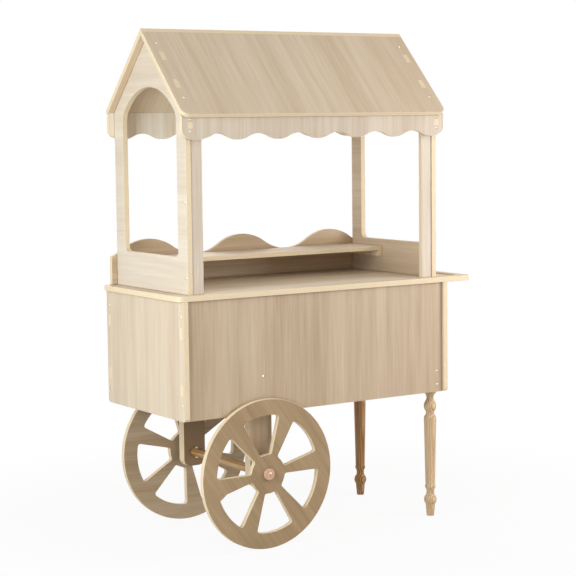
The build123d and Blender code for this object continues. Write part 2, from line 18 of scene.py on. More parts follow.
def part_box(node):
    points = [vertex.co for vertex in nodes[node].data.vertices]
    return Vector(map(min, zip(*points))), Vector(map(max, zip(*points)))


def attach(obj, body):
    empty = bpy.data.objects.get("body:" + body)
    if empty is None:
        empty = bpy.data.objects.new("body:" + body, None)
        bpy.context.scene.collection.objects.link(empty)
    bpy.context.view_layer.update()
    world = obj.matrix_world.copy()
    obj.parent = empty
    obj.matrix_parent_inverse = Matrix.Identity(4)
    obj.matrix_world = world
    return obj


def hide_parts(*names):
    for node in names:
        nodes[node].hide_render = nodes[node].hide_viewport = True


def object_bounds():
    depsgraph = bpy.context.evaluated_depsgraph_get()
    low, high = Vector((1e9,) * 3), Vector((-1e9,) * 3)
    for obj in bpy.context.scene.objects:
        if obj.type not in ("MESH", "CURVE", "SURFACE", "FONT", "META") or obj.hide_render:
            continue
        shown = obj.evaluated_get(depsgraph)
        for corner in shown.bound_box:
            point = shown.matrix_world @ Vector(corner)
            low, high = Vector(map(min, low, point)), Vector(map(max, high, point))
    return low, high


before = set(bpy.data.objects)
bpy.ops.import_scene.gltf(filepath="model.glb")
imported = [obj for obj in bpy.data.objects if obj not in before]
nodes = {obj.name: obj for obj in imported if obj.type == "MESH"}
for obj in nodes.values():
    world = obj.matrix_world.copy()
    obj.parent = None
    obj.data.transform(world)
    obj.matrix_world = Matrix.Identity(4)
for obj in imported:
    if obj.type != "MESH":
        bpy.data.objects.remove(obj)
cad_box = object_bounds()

MM = 0.001  # a millimetre in metres
cart_size = cad_box[1] - cad_box[0]
cart_middle = (cad_box[0] + cad_box[1]) / 2
print("nodes", len(nodes), "size in mm", [round(side / MM) for side in cart_size])

# %% [markdown]
# ## Two helpers for nodes and colours
# Every material and every Geometry Nodes tree is a handful of linked nodes. They could be wired by
# hand in the editor, but a script can be read and run again. One function adds a node, sets its own
# properties and fills its inputs, either with values or with links from other nodes. Colours are
# picked on screen as sRGB, while the shader works in linear light, so a second function turns a hex
# colour into linear values.

# %% Node and colour helpers
def node(tree, kind, inputs=None, **settings):
    """Add a node. Inputs are keyed by a socket's name or identifier, to a value, a node, a socket
    or, for a socket that takes several links, a tuple of nodes."""
    made = tree.nodes.new(kind)
    for name, value in settings.items():
        setattr(made, name, value)
    sockets = {socket.name: socket for socket in made.inputs}
    sockets |= {socket.identifier: socket for socket in made.inputs}
    linked = (bpy.types.Node, bpy.types.NodeSocket)
    for key, value in (inputs or {}).items():
        several = isinstance(value, tuple) and isinstance(value[0], linked)
        for source in value if several else (value,):
            if isinstance(source, bpy.types.Node):
                source = next(socket for socket in source.outputs if socket.enabled)
            if isinstance(source, linked):
                tree.links.new(source, sockets[key])
            else:
                sockets[key].default_value = source
    return made


def linear(hex_colour):
    """An sRGB hex colour as linear red, green, blue and alpha, by the sRGB standard's curve."""
    channels = [int(hex_colour[i:i + 2], 16) / 255 for i in (1, 3, 5)]
    return [c / 12.92 if c < 0.04045 else ((c + 0.055) / 1.055) ** 2.4 for c in channels] + [1.0]


print("mid grey in linear light", round(linear("#808080")[0], 3))

# %% [markdown]
# ## Camera
# The picture is taken from the left of the front, a little above the counter, with a long lens:
# upright edges stay nearly parallel. A camera could be placed by eye, but then every board would sit
# a few pixels off. The place, the three turns and the focal length were fitted to corners of the
# cart, so the render lies over the picture without shift or crop.

# %% Camera
camera_place = Vector((-3.2224, -4.8762, 1.3857))
camera_yaw = -0.5827
camera_pitch = -0.0979
camera_roll = -0.0116
focal_length = 107.34  # in millimetres, as is the sensor's width
sensor_width = 36.0
view_depth = 50.0

lens = bpy.data.cameras.new("camera")
lens.lens = focal_length
lens.sensor_width = sensor_width
lens.clip_end = view_depth
camera = bpy.data.objects.new("camera", lens)
bpy.context.scene.collection.objects.link(camera)
camera.matrix_world = (
    Matrix.Translation(camera_place)
    @ Matrix.Rotation(camera_yaw, 4, "Z")
    @ Matrix.Rotation(math.pi / 2 + camera_pitch, 4, "X")
    @ Matrix.Rotation(camera_roll, 4, "Z")
)
bpy.context.scene.camera = camera
bpy.context.scene.view_settings.view_transform = "Standard"
print("camera to cart in metres", round((camera_place - cart_middle).length, 2))

# %% [markdown]
# ## Floor and white surround
# The cart stands on white paper that has no visible edge. A plain white floor would still show a
# horizon, so the floor fades into an even white with distance. Only rays that the camera, a mirror
# or glass sends see that white. The light that falls on the cart comes from the dimmer world and
# the lamps, and the floor close to the wheels keeps their soft shadow.

# %% Paper floor
floor_half = 9.0
paper_white = "#D4D3D1"
even_white = "#FFFFFF"
shadow_reach = 1.9  # metres from the cart's middle to where the floor is an even white
shadow_share = 0.08  # how much of the lit paper, with its shadow, shows beside the cart


def seen_directly(tree):
    """One for rays that show the surround itself, and nought for rays that carry light."""
    path = node(tree, "ShaderNodeLightPath")
    mirror = node(tree, "ShaderNodeMath", {
        "Value": path.outputs["Is Glossy Ray"], "Value_001": path.outputs["Is Transmission Ray"],
    }, operation="MAXIMUM")
    return node(tree, "ShaderNodeMath", {
        "Value": path.outputs["Is Camera Ray"], "Value_001": mirror,
    }, operation="MAXIMUM")


paper = bpy.data.materials.new("studio_paper")
paper.use_nodes = True
paper_tree = paper.node_tree
paper_tree.nodes.clear()
place = node(paper_tree, "ShaderNodeTexCoord").outputs["Object"]
distance = node(paper_tree, "ShaderNodeVectorMath", {"Vector": place}, operation="LENGTH")
fade = node(paper_tree, "ShaderNodeMapRange", {
    "Value": distance.outputs["Value"], "From Min": cart_size.x / 2, "From Max": shadow_reach,
    "To Min": 1 - shadow_share, "To Max": 1.0,
}, interpolation_type="SMOOTHSTEP")
white_share = node(paper_tree, "ShaderNodeMath", {
    "Value": fade, "Value_001": seen_directly(paper_tree),
}, operation="MULTIPLY")
lit = node(paper_tree, "ShaderNodeBsdfDiffuse", {"Color": linear(paper_white)})
even = node(paper_tree, "ShaderNodeEmission", {"Color": linear(even_white), "Strength": 1.0})
mixed = node(paper_tree, "ShaderNodeMixShader", {
    "Fac": white_share, "Shader": lit, "Shader_001": even,
})
node(paper_tree, "ShaderNodeOutputMaterial", {"Surface": mixed})

sheet = bmesh.new()
bmesh.ops.create_grid(sheet, x_segments=1, y_segments=1, size=floor_half)
floor_mesh = bpy.data.meshes.new("floor")
sheet.to_mesh(floor_mesh)
sheet.free()
floor_mesh.materials.append(paper)
floor = bpy.data.objects.new("floor", floor_mesh)
floor.location.z = cad_box[0].z
bpy.context.scene.collection.objects.link(floor)
print("floor", 2 * floor_half, "m across")

# %% White surround
world_strength = 0.48

world = bpy.data.worlds.new("white surround")
world.use_nodes = True
bpy.context.scene.world = world
world_tree = world.node_tree
world_tree.nodes.clear()
strength = node(world_tree, "ShaderNodeMapRange", {
    "Value": seen_directly(world_tree), "To Min": world_strength, "To Max": 1.0,
})
sky = node(world_tree, "ShaderNodeBackground", {
    "Color": linear(even_white), "Strength": strength,
})
node(world_tree, "ShaderNodeOutputWorld", {"Surface": sky})
print("world strength", world_strength)

# %% [markdown]
# ## Lamps
# The left end of the cart is the brightest side, and its edge throws a narrow soft shadow onto the
# recessed front panel. A broad lamp on the left, a little forward, gives both, and reaches the
# undersides of the canopy. It is slightly cool, as daylight is. The front grows lighter towards its
# right end, so a smaller lamp stands there, and a third one above the front lights the roof. A warm
# one behind keeps the back from falling dark. Small lamps would throw hard shadows, so these are
# broad and stand close by, as large windows do.

# %% Lamps
lamps = {
    # name: place, size, power in watts and colour
    "left_window": ((-2.6, -0.95, 1.3), 1.3, 57.0, "#EDF8FF"),
    "right_window": ((1.75, -1.45, 1.2), 1.0, 26.0, "#FFFFFF"),
    "high_front": ((0.6, -2.2, 3.4), 2.0, 21.5, "#FFFFFF"),
    "rear_fill": ((0.9, 3.1, 2.0), 2.0, 28.0, "#FFF0DE"),
}
for name, (place, size, power, colour) in lamps.items():
    lamp = bpy.data.lights.new(name, "AREA")
    lamp.shape = "SQUARE"
    lamp.size = size
    lamp.energy = power
    lamp.color = linear(colour)[:3]
    lamp_object = bpy.data.objects.new(name, lamp)
    lamp_object.location = place
    aim = cart_middle - lamp_object.location
    lamp_object.rotation_euler = aim.to_track_quat("-Z", "Y").to_euler()
    bpy.context.scene.collection.objects.link(lamp_object)
    print(name, power, "W at", round(aim.length, 2), "m")

# %% [markdown]
# ## Oak-faced board
# The boards are a pale core with oak veneer on both faces. The veneer is sliced along the trunk, so
# the eye sees bands a few centimetres wide, finer streaks inside them, and hairlines that all run
# one way. The sawn edges and the tenon ends are bare core: cream, smoother, and without streaks.
#
# A picture of veneer could be wrapped round each board, but it would repeat, and every board would
# need its own map. Noise that is stretched along the grain never repeats. One node group draws it
# in board coordinates, with x along the grain, y across it and z through the board.

# %% Veneer pattern
band_width = 46 * MM
streak_width = 11 * MM
hairline_width = 3.4 * MM  # real hairlines are finer, and would not show at this distance
band_run = 18  # a band or a streak is this many times longer than it is wide
grain_run = 30  # and a hairline this many times
wander_width = 160 * MM
wander_run = 3
wander_depth = 14 * MM  # how far the grain sways to the side
noise_patch = 0.5  # a light or a dark patch of noise at scale 1 is about this wide
wood_outputs = {"Color": "Color", "Roughness": "Float", "Height": "Float"}


def add_sockets(group, side, kinds):
    """Give a node group its inputs or its outputs, by name and kind."""
    for name, kind in kinds.items():
        group.interface.new_socket(name, in_out=side, socket_type="NodeSocket" + kind)


def stretched_noise(tree, point, width, run, detail):
    """Noise whose patches are as wide as width and run times longer along x."""
    stretched = node(tree, "ShaderNodeVectorMath", {
        "Vector": point,
        "Vector_001": (noise_patch / (width * run), noise_patch / width, noise_patch / width),
    }, operation="MULTIPLY")
    return node(tree, "ShaderNodeTexNoise", {
        "Vector": stretched, "Scale": 1.0, "Detail": detail, "Roughness": 0.5,
    }).outputs["Fac"]


veneer = bpy.data.node_groups.new("oak veneer pattern", "ShaderNodeTree")
add_sockets(veneer, "INPUT", {
    "Point": "Vector", "Normal": "Vector", "Tone": "Float", "Figure": "Float", "Richness": "Float",
})
add_sockets(veneer, "OUTPUT", wood_outputs)
board = node(veneer, "NodeGroupInput").outputs
wander = stretched_noise(veneer, board["Point"], wander_width, wander_run, detail=1.0)
drift = node(veneer, "ShaderNodeMath", {"Value": wander, "Value_001": wander_depth},
             operation="MULTIPLY")
shift = node(veneer, "ShaderNodeCombineXYZ", {"Y": drift})
grain_point = node(veneer, "ShaderNodeVectorMath", {
    "Vector": board["Point"], "Vector_001": shift,
}, operation="ADD").outputs["Vector"]
bands = stretched_noise(veneer, grain_point, band_width, band_run, detail=1.0)
streaks = stretched_noise(veneer, grain_point, streak_width, band_run, detail=2.0)
hairlines = stretched_noise(veneer, grain_point, hairline_width, grain_run, detail=3.0)
print("veneer bands", round(band_width / MM), "mm wide")

# %% [markdown]
# ### Colours of the veneer
# The three layers of noise add up to one number, the tone, and a colour ramp turns it into oak:
# dark brown where it is low and cream where it is high. Each board could have a ramp of its own,
# but one ramp keeps them all the same wood. Veneer also varies a little in hue from strip to strip,
# so a slower noise lays a faint warm cast over some strips. The richness that a board asks for
# scales the saturation of the result.

# %% Veneer colours
layers = ((bands, 0.20), (streaks, 0.175), (hairlines, 0.18))  # each with its share of the tone
face_tones = (
    (0.00, "#8A7050"), (0.16, "#A68B68"), (0.36, "#C2AA8D"), (0.46, "#D2BEA4"), (0.54, "#DCCCB4"),
    (0.66, "#E8DECC"), (0.82, "#F2ECE0"),
)
warm_cast = "#F8F4F2"
cast_width = 1.7 * band_width
cast_begins = 0.40  # the noise where the cast begins, and where it is full
cast_is_full = 0.75
cast_strength = 0.6

figure = -sum(share for _, share in layers) / 2  # noise averages a half, so the figure averages nought
for layer, share in layers:
    figure = node(veneer, "ShaderNodeMath", {
        "Value": layer, "Value_001": share, "Value_002": figure,
    }, operation="MULTIPLY_ADD")
tone = node(veneer, "ShaderNodeMath", {
    "Value": figure, "Value_001": board["Figure"], "Value_002": board["Tone"],
}, operation="MULTIPLY_ADD")
ramp = node(veneer, "ShaderNodeValToRGB", {"Fac": tone})
while len(ramp.color_ramp.elements) < len(face_tones):
    ramp.color_ramp.elements.new(0.5)
for stop, (position, colour) in zip(ramp.color_ramp.elements, face_tones):
    stop.position = position
    stop.color = linear(colour)
strips = stretched_noise(veneer, grain_point, cast_width, grain_run, detail=0.0)
cast_share = node(veneer, "ShaderNodeMapRange", {
    "Value": strips, "From Min": cast_begins, "From Max": cast_is_full,
    "To Min": 0.0, "To Max": cast_strength,
})
cast_veneer = node(veneer, "ShaderNodeMix", {
    "Factor_Float": cast_share, "A_Color": ramp.outputs["Color"], "B_Color": linear(warm_cast),
}, data_type="RGBA", blend_type="MULTIPLY")
face_colour = node(veneer, "ShaderNodeHueSaturation", {
    "Saturation": board["Richness"], "Color": cast_veneer,
})
print("veneer tones", len(face_tones))

# %% [markdown]
# ### Faces and cut edges
# Veneer covers only the two faces of a board. The edges could be a second material, but then every
# face of every mesh would need sorting. The normal already tells them apart: on a face it points
# through the board, along z, and on an edge it lies across z. A narrow range between the two lets
# rounded corners blend from one to the other.

# %% Faces and cut edges
core_cream = "#E4D0AF"
core_shade = "#D8C09C"
core_fleck = 2.6 * MM
edge_slope = 0.80  # z of the normal where the bare edge ends, and where the veneer begins
face_slope = 0.95
noise_spread = {"From Min": 0.3, "From Max": 0.7}  # most of a noise's values lie between these
board_roughness = {"To Min": 0.58, "To Max": 0.44}

core_mottle = stretched_noise(veneer, board["Point"], core_fleck, 1.0, detail=1.0)
core_colour = node(veneer, "ShaderNodeMix", {
    "Factor_Float": core_mottle, "A_Color": linear(core_cream), "B_Color": linear(core_shade),
}, data_type="RGBA")
through = node(veneer, "ShaderNodeSeparateXYZ", {"Vector": board["Normal"]}).outputs["Z"]
flatness = node(veneer, "ShaderNodeMath", {"Value": through}, operation="ABSOLUTE")
on_face = node(veneer, "ShaderNodeMapRange", {
    "Value": flatness, "From Min": edge_slope, "From Max": face_slope,
})
node(veneer, "NodeGroupOutput", {
    "Color": node(veneer, "ShaderNodeMix", {
        "Factor_Float": on_face, "A_Color": core_colour, "B_Color": face_colour,
    }, data_type="RGBA"),
    "Roughness": node(veneer, "ShaderNodeMapRange", {
        "Value": streaks, **noise_spread, **board_roughness,
    }),
    "Height": node(veneer, "ShaderNodeMath", {
        "Value": hairlines, "Value_001": on_face,
    }, operation="MULTIPLY"),
})
print("veneer nodes", len(veneer.nodes))

# %% [markdown]
# ## One material for each board
# A maker lays the grain along the counter, the backboard and the shelf, upright on the box and the
# canopy, and across the end frames. So each board needs its own grain direction, and no two boards
# come from the same tree. One material with one grain would look like printed foil. The table gives
# each board its grain, its step from the plain tone, the strength of its figure and the richness of
# its colour. Some steps also paint light and shade into the wood: the right end frame, the backboard
# and the rear strut are darker for painted shade, and the rear valance is lighter for painted light
# inside the canopy. A lower richness on the brightly lit left frame, stiles and front valance paints
# the paleness of strong light.

# %% Grain and tone of each board
upright, along, across = Vector((0, 0, 1)), Vector((1, 0, 0)), Vector((0, 1, 0))
slanting = Vector((0.57, 0, -0.82))  # the front wheel is cut askew from its board
plain_tone = 0.495
boards = {
    # name: grain, step in tone, strength of the figure and richness
    "left_end_panel": (upright, -0.07, 0.7, 0.95),
    "right_end_panel": (upright, -0.07, 0.7, 0.95),
    "front_panel": (upright, -0.195, 1.1, 0.94),
    "rear_panel": (upright, -0.10, 1.25, 0.95),
    "counter_top": (along, 0.0, 1.0, 1.0),
    # painted light: the low richness of the left frame, the front valance and the stiles paints the
    # paleness of strong light
    "left_end_frame": (across, -0.03, 0.7, 0.85),
    # painted shade: this frame is darker for the shade that the goods on the counter cast on it
    "right_end_frame": (across, -0.10, 0.8, 1.0),
    "front_roof_panel": (upright, -0.07, 0.75, 1.0),
    "rear_roof_panel": (upright, 0.02, 0.75, 1.15),
    "front_valance": (upright, -0.11, 0.9, 0.78),
    # painted light: the rear valance is lighter for the light that reaches its inner face under the
    # canopy
    "rear_valance": (upright, 0.17, 1.8, 1.2),
    "left_stile": (upright, -0.09, 1.0, 0.80),
    "right_stile": (upright, -0.04, 1.0, 0.80),
    # painted shade: the backboard is darker for the shade of the goods in front of it
    "backboard": (along, -0.16, 1.4, 1.05),
    "display_shelf": (along, 0.0, 1.0, 1.0),
    "left_shelf_cleat": (across, 0.0, 1.0, 1.0),
    "right_shelf_cleat": (across, 0.0, 1.0, 1.0),
    "front_wheel": (slanting, -0.37, 1.1, 1.0),
    "rear_wheel": (along, -0.29, 1.1, 0.95),
    "front_axle_strut": (upright, -0.19, 1.0, 1.0),
    # painted shade: the rear strut is darker than the front one for the shade under the box
    "rear_axle_strut": (upright, -0.55, 1.0, 1.0),
}
print("boards", len(boards))

# %% [markdown]
# ### A wood material
# A Mapping node turns object coordinates into the grain axes of a piece, so that one pattern serves
# all pieces. The normal takes the same turn. Little light reaches where two pieces meet. That shade
# could be painted by hand, but an Ambient Occlusion node finds every joint by itself, and a brown
# that is multiplied over the wood paints the shade there.

# %% A wood material
bump_depth = 0.12 * MM
painted_shade_reach = 4 * MM  # how far the painted shade of a joint reaches over the pieces beside it
painted_shade_depth = 0.75  # how dark the painted shade is at the bottom of a joint
# the colour of the painted shade in the joints
painted_shade_brown = "#8A6A48"
painted_shade_rays = 8
wood_specular = 0.4  # bare wood, a little duller than a plastic


def patterned(name, group, axes, offset, **looks):
    """A material that draws a wood pattern in a piece's own grain axes, with painted shade in its
    joints.
    """
    made = bpy.data.materials.new(name)
    made.use_nodes = True
    tree = made.node_tree
    tree.nodes.clear()
    turn = axes.to_euler()
    place = node(tree, "ShaderNodeTexCoord")
    point = node(tree, "ShaderNodeMapping", {
        "Vector": place.outputs["Object"], "Rotation": turn, "Location": offset,
    })
    normal = node(tree, "ShaderNodeMapping", {
        "Vector": place.outputs["Normal"], "Rotation": turn,
    }, vector_type="VECTOR")
    pattern = node(tree, "ShaderNodeGroup", {"Point": point, "Normal": normal, **looks},
                   node_tree=group)
    relief = node(tree, "ShaderNodeBump", {
        "Height": pattern.outputs["Height"], "Distance": bump_depth, "Strength": 1.0,
    })
    # painted shade: where the Ambient Occlusion node finds a joint, a brown is multiplied over the
    # wood
    openness = node(tree, "ShaderNodeAmbientOcclusion", {"Distance": painted_shade_reach},
                    samples=painted_shade_rays)
    shade = node(tree, "ShaderNodeMapRange", {
        "Value": openness.outputs["AO"], "To Min": painted_shade_depth, "To Max": 0.0,
    })
    shaded = node(tree, "ShaderNodeMix", {
        "Factor_Float": shade, "A_Color": pattern.outputs["Color"], "B_Color": linear(painted_shade_brown),
    }, data_type="RGBA", blend_type="MULTIPLY")
    surface = node(tree, "ShaderNodeBsdfPrincipled", {
        "Base Color": shaded, "Roughness": pattern.outputs["Roughness"],
        "Normal": relief, "Specular IOR Level": wood_specular,
    })
    node(tree, "ShaderNodeOutputMaterial", {"Surface": surface})
    return made


print("joint shade reaches", round(painted_shade_reach / MM), "mm")

# %% [markdown]
# ### Dressing the boards
# The largest face of a board gives its normal, and the table gives its grain: together they are the
# axes of the board. A random offset for each board keeps two boards from showing the same streaks,
# and a fixed seed keeps the streaks the same in every run.

# %% Board materials
offset_seed = 11
offset_range = 9.0  # metres, many times the length of a board


def board_axes(mesh, grain):
    """Rows along the grain, across it and through the board, from its largest face."""
    through = max(mesh.polygons, key=lambda face: face.area).normal.copy()
    lengthwise = (grain - grain.dot(through) * through).normalized()
    return Matrix((lengthwise, through.cross(lengthwise), through))


def wear(piece, material):
    """Give a piece one material in place of those it came with."""
    piece.data.materials.clear()
    piece.data.materials.append(material)


offsets = random.Random(offset_seed)
for name, (grain, tone_and_light_step, figure_strength, richness) in boards.items():
    offset = [offsets.uniform(0, offset_range) for _ in range(3)]
    axes = board_axes(nodes[name].data, grain)
    wear(nodes[name], patterned("oak_veneer_" + name, veneer, axes, offset,
                                Tone=plain_tone + tone_and_light_step, Figure=figure_strength,
                                Richness=richness))
print("oak veneer on", len(boards), "boards")

# %% [markdown]
# ## Turned wood
# The legs, the axle and the wheel spacers are turned from solid rubberwood, which is warmer than the
# boards. Turning cuts through the growth rings at every depth, so rings that are nearly straight
# along the stick show as long flames on the round surface. The veneer's streaks would look wrapped
# round it. Rings about a pith line beside the stick, bent a little by noise, give the flames.

# %% Turned wood pattern
ring_spacing = 5.5 * MM
pith_distance = 38 * MM
ring_wander = 7 * MM
sway_width = 34 * MM
sway_run = 5
fibre_width = 1.6 * MM
ring_share = 0.38  # what the rings, the fibres and the sway each add to the tone
fibre_share = 0.60
sway_share = 0.35
early_wood = "#E6CBA6"
late_wood = "#A0774A"
turned_roughness = {"To Min": 0.42, "To Max": 0.56}
wave_radians = 20  # what a Wave texture turns through in one unit at scale 1

turned = bpy.data.node_groups.new("turned wood pattern", "ShaderNodeTree")
add_sockets(turned, "INPUT", {"Point": "Vector", "Normal": "Vector", "Tone": "Float"})
add_sockets(turned, "OUTPUT", wood_outputs)
stick = node(turned, "NodeGroupInput").outputs
sway = stretched_noise(turned, stick["Point"], sway_width, sway_run, detail=2.0)
pith_place = node(turned, "ShaderNodeMath", {
    "Value": sway, "Value_001": ring_wander, "Value_002": pith_distance,
}, operation="MULTIPLY_ADD")
pith = node(turned, "ShaderNodeCombineXYZ", {"Y": pith_place, "Z": pith_place})
ring_point = node(turned, "ShaderNodeVectorMath", {
    "Vector": stick["Point"], "Vector_001": pith,
}, operation="ADD")
rings = node(turned, "ShaderNodeTexWave", {
    "Vector": ring_point, "Scale": 2 * math.pi / (wave_radians * ring_spacing),
    "Distortion": 1.0, "Detail": 1.0, "Detail Scale": 1.0,
}, wave_type="RINGS", rings_direction="X").outputs["Fac"]
fibres = stretched_noise(turned, stick["Point"], fibre_width, grain_run, detail=2.0)
ring_tone = stick["Tone"]
for layer, share in ((rings, ring_share), (fibres, fibre_share), (sway, sway_share)):
    ring_tone = node(turned, "ShaderNodeMath", {
        "Value": layer, "Value_001": share, "Value_002": ring_tone,
    }, operation="MULTIPLY_ADD")
node(turned, "NodeGroupOutput", {
    "Color": node(turned, "ShaderNodeMix", {
        "Factor_Float": ring_tone, "A_Color": linear(early_wood), "B_Color": linear(late_wood),
    }, data_type="RGBA", clamp_factor=False),
    "Roughness": node(turned, "ShaderNodeMapRange", {
        "Value": fibres, **noise_spread, **turned_roughness,
    }),
    "Height": fibres,
})
print("turned wood nodes", len(turned.nodes))

# %% [markdown]
# ### Dressing the sticks
# A stick has no largest face, so its axis alone is given, and any two directions square to it will
# do. The pattern is centred on the stick, because the pith line is measured from its axis, and only
# the offset along the grain is random. The tone is low for pale wood and high for dark wood. The rear
# leg's high tone is painted shade: it is darker for the shade under the counter.

# %% Turned wood materials
sticks = {
    # name: grain and tone
    "front_leg": (upright, -0.20),
    # painted shade: the rear leg's high tone darkens it for the shade under the counter
    "rear_leg": (upright, 0.34),
    "axle": (across, 0.30),
    "front_wheel_spacer": (across, 0.0),
    "rear_wheel_spacer": (across, 0.0),
}
for name, (grain, stick_tone_and_shade) in sticks.items():
    sideways = grain.orthogonal().normalized()
    axes = Matrix((grain, sideways, grain.cross(sideways)))
    low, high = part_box(name)
    offset = -(axes @ ((low + high) / 2))
    offset.x = offsets.uniform(0, offset_range)
    wear(nodes[name], patterned("rubberwood_" + name, turned, axes, offset, Tone=stick_tone_and_shade))
print("rubberwood on", len(sticks), "turned pieces")

# %% [markdown]
# ## Plated steel, beech and nylon
# Wood screws and axle pins are bright zinc on steel: a metal with small uneven patches in its shine.
# The hub caps are beech with fine flecks, and their screws are plated in a bronze tone close to it.
# The wheel bushes are white nylon, slightly waxy. All are small and nearly even in colour, so a
# grain or a scratch would not show. A little noise in colour and roughness does the work.

# %% Plated steel, beech and nylon
plating_patch = 3 * MM
beech_fleck = 2 * MM
nylon_grit = 0.8 * MM


def speckled(name, colours, patch, roughness, **constants):
    """A material that wavers between two colours and two roughnesses."""
    made = bpy.data.materials.new(name)
    made.use_nodes = True
    tree = made.node_tree
    tree.nodes.clear()
    place = node(tree, "ShaderNodeTexCoord").outputs["Object"]
    noise = stretched_noise(tree, place, patch, 1.0, detail=2.0)
    colour = node(tree, "ShaderNodeMix", {
        "Factor_Float": noise, "A_Color": linear(colours[0]), "B_Color": linear(colours[1]),
    }, data_type="RGBA")
    rough = node(tree, "ShaderNodeMapRange", {
        "Value": noise, **noise_spread, "To Min": roughness[0], "To Max": roughness[1],
    })
    surface = node(tree, "ShaderNodeBsdfPrincipled", {
        "Base Color": colour, "Roughness": rough, **constants,
    })
    node(tree, "ShaderNodeOutputMaterial", {"Surface": surface})
    return made


zinc = speckled("zinc_plated_steel", ("#EDE1CC", "#D9CAB0"), plating_patch, (0.34, 0.50),
                Metallic=1.0)
bronze = speckled("bronze_plated_steel", ("#E2BFA2", "#C39C7E"), plating_patch, (0.40, 0.56),
                  Metallic=1.0)
beech = speckled("beech", ("#D2AC8F", "#BC9477"), beech_fleck, (0.44, 0.56))
nylon = speckled("white_nylon", ("#EFEDE6", "#E2DFD6"), nylon_grit, (0.40, 0.52))
wear(nodes["axle_pins"], zinc)
for end in ("front", "rear"):
    wear(nodes[end + "_wheel_bush"], nylon)
    wear(nodes[end + "_hub_cap"], beech)
print("plain finishes", zinc.name, bronze.name, beech.name, nylon.name)

# %% [markdown]
# ## Where the screws sit
# The construction model has a plain screw in every hole. The places of the finished screws could be
# typed in, but the plain ones already hold them, and stay right if a board changes. The points of a
# screw spread most along its length, so the first principal direction is its axis. The head is at
# the end with the larger radius, and the rim of the head is the seat.

# %% Screw seats
weld = 0.01 * MM


def loose_parts(mesh):
    """The points of each separate part of a mesh, in the mesh's own order."""
    shape = bmesh.new()
    shape.from_mesh(mesh)
    bmesh.ops.remove_doubles(shape, verts=shape.verts, dist=weld)
    shape.verts.index_update()
    seen = set()
    for first in shape.verts:
        if first.index in seen:
            continue
        seen.add(first.index)
        part, front = [], [first]
        while front:
            point = front.pop()
            part.append(point.co)
            near = [edge.other_vert(point) for edge in point.link_edges]
            fresh = [other for other in near if other.index not in seen]
            seen.update(other.index for other in fresh)
            front += fresh
        yield np.array(part)
    shape.free()


def measured(points):
    """A screw's seat, outward axis, length below the rim, head diameter and shank diameter."""
    middle = points.mean(axis=0)
    axis = np.linalg.svd(points - middle, full_matrices=False)[2][0]
    depth = (points - middle) @ axis
    radius = np.linalg.norm(points - middle - np.outer(depth, axis), axis=1)
    if depth[radius.argmax()] < 0:
        axis, depth = -axis, -depth
    rim = depth[radius > radius.max() - weld].max()
    tip = radius[depth < depth.min() + weld].max()
    return middle + rim * axis, axis, rim - depth.min(), 2 * radius.max(), 2 * tip


screw_groups = {
    "wood_screws": [name for name in nodes if name.endswith("_screws") and name != "hub_cap_screws"],
    "cap_screws": ["hub_cap_screws"],
}
screws = {
    kind: [measured(part) for name in names for part in loose_parts(nodes[name].data)]
    for kind, names in screw_groups.items()
}
for kind, found in screws.items():
    print(kind, len(found), "heads of", round(found[0][3] / MM, 2), "mm")

# %% [markdown]
# ## One screw, many seats
# Each screw could be modelled and copied by hand, but a Geometry Nodes tree builds one and puts it
# on every seat, so a change of size reaches all of them. The head is a cone that is wide at the top,
# with the rings of its upper cap lifted into a dome. The lift falls off with the square of the
# distance from the middle, which gives a round top and leaves the rim where it is.

# %% Screw head
rim_points = 32
cap_rings = 6
cap_level = 0.99  # points above this share of the cone's height are on its upper cap

screw_tree = bpy.data.node_groups.new("screws on seats", "GeometryNodeTree")
add_sockets(screw_tree, "INPUT", {
    "Geometry": "Geometry", "Head": "Float", "Dome": "Float", "Countersink": "Float",
    "Shank": "Float", "Cross": "Float", "Seed": "Int", "Material": "Material",
})
add_sockets(screw_tree, "OUTPUT", {"Geometry": "Geometry"})
given = node(screw_tree, "NodeGroupInput").outputs
head_radius, shank_radius = (
    node(screw_tree, "ShaderNodeMath", {"Value": diameter, "Value_001": 2.0}, operation="DIVIDE")
    for diameter in (given["Head"], given["Shank"])
)
blank = node(screw_tree, "GeometryNodeMeshCone", {
    "Vertices": rim_points, "Fill Segments": cap_rings, "Radius Top": head_radius,
    "Radius Bottom": shank_radius, "Depth": given["Countersink"],
}, fill_type="TRIANGLE_FAN")
point = node(screw_tree, "GeometryNodeInputPosition")
flat_point = node(screw_tree, "ShaderNodeVectorMath", {"Vector": point, "Vector_001": (1, 1, 0)},
                  operation="MULTIPLY")
reach = node(screw_tree, "ShaderNodeVectorMath", {"Vector": flat_point}, operation="LENGTH")
reach_share = node(screw_tree, "ShaderNodeMath", {
    "Value": reach.outputs["Value"], "Value_001": head_radius,
}, operation="DIVIDE")
fall = node(screw_tree, "ShaderNodeMath", {"Value": reach_share, "Value_001": 2.0},
            operation="POWER")
rise = node(screw_tree, "ShaderNodeMath", {"Value": 1.0, "Value_001": fall}, operation="SUBTRACT")
lift = node(screw_tree, "ShaderNodeMath", {"Value": rise, "Value_001": given["Dome"]},
            operation="MULTIPLY")
height = node(screw_tree, "ShaderNodeSeparateXYZ", {"Vector": point}).outputs["Z"]
cap_height = node(screw_tree, "ShaderNodeMath", {
    "Value": given["Countersink"], "Value_001": cap_level,
}, operation="MULTIPLY")
on_cap = node(screw_tree, "ShaderNodeMath", {"Value": height, "Value_001": cap_height},
              operation="GREATER_THAN")
domed = node(screw_tree, "GeometryNodeSetPosition", {
    "Geometry": blank, "Selection": on_cap,
    "Offset": node(screw_tree, "ShaderNodeCombineXYZ", {"Z": lift}),
})
sunk = node(screw_tree, "ShaderNodeMath", {"Value": given["Countersink"], "Value_001": -1.0},
            operation="MULTIPLY")
